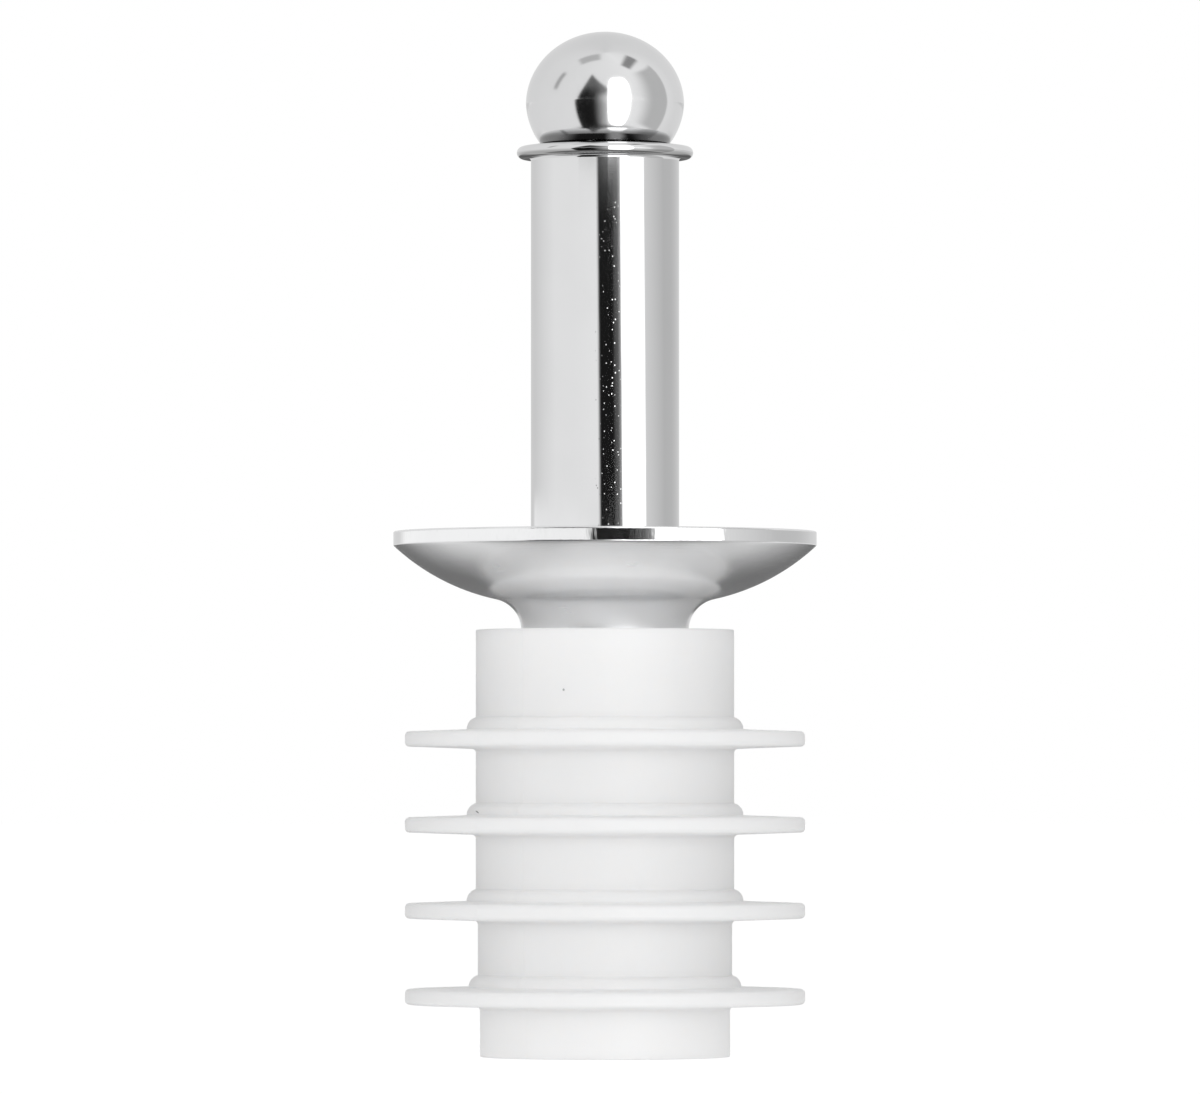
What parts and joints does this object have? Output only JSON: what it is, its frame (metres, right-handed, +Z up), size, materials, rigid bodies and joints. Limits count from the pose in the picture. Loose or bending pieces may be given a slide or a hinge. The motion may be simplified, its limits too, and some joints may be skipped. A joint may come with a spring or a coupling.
{
  "type": "liquor pourer",
  "caption": "Self-closing liquor pourer: a gravity ball valve on a lipped chromed tube, with a drip saucer, an air tube and a finned soft stopper for a bottle's neck.",
  "frame": {"origin": "middle of the stopper's foot, on the surface that the pourer stands on", "axes": "+Z up the pour tube's axis, towards the ball; +Y towards the air port, away from the picture's camera"},
  "size_m": [0.0254, 0.0254, 0.0615],
  "materials": {
    "stopper_plastic": "soft satin polyethylene",
    "chrome": "bright chrome plate",
    "steel": "drawn stainless steel",
    "spring_steel": "dark spring steel"
  },
  "bodies": {
    "pourer": {"bottle_stopper": "stopper_plastic", "pour_tube": "chrome", "drip_saucer": "chrome", "stem_guide": "steel", "air_tube": "steel"},
    "valve_stop": {"stop_washer": "steel"},
    "valve": {"valve_ball": "chrome", "valve_stem": "steel", "stem_clip": "spring_steel"}
  },
  "joints": [
    {"name": "valve_lift", "type": "slide", "parent": "pourer", "child": "valve_stop", "axis": [0, 0, 1], "range_m": [0, 0.005]},
    {"name": "valve_spin", "type": "hinge", "parent": "valve_stop", "child": "valve", "pos_m": [0, 0, 0.057], "axis": [0, 0, 1], "continuous": true}
  ]
}
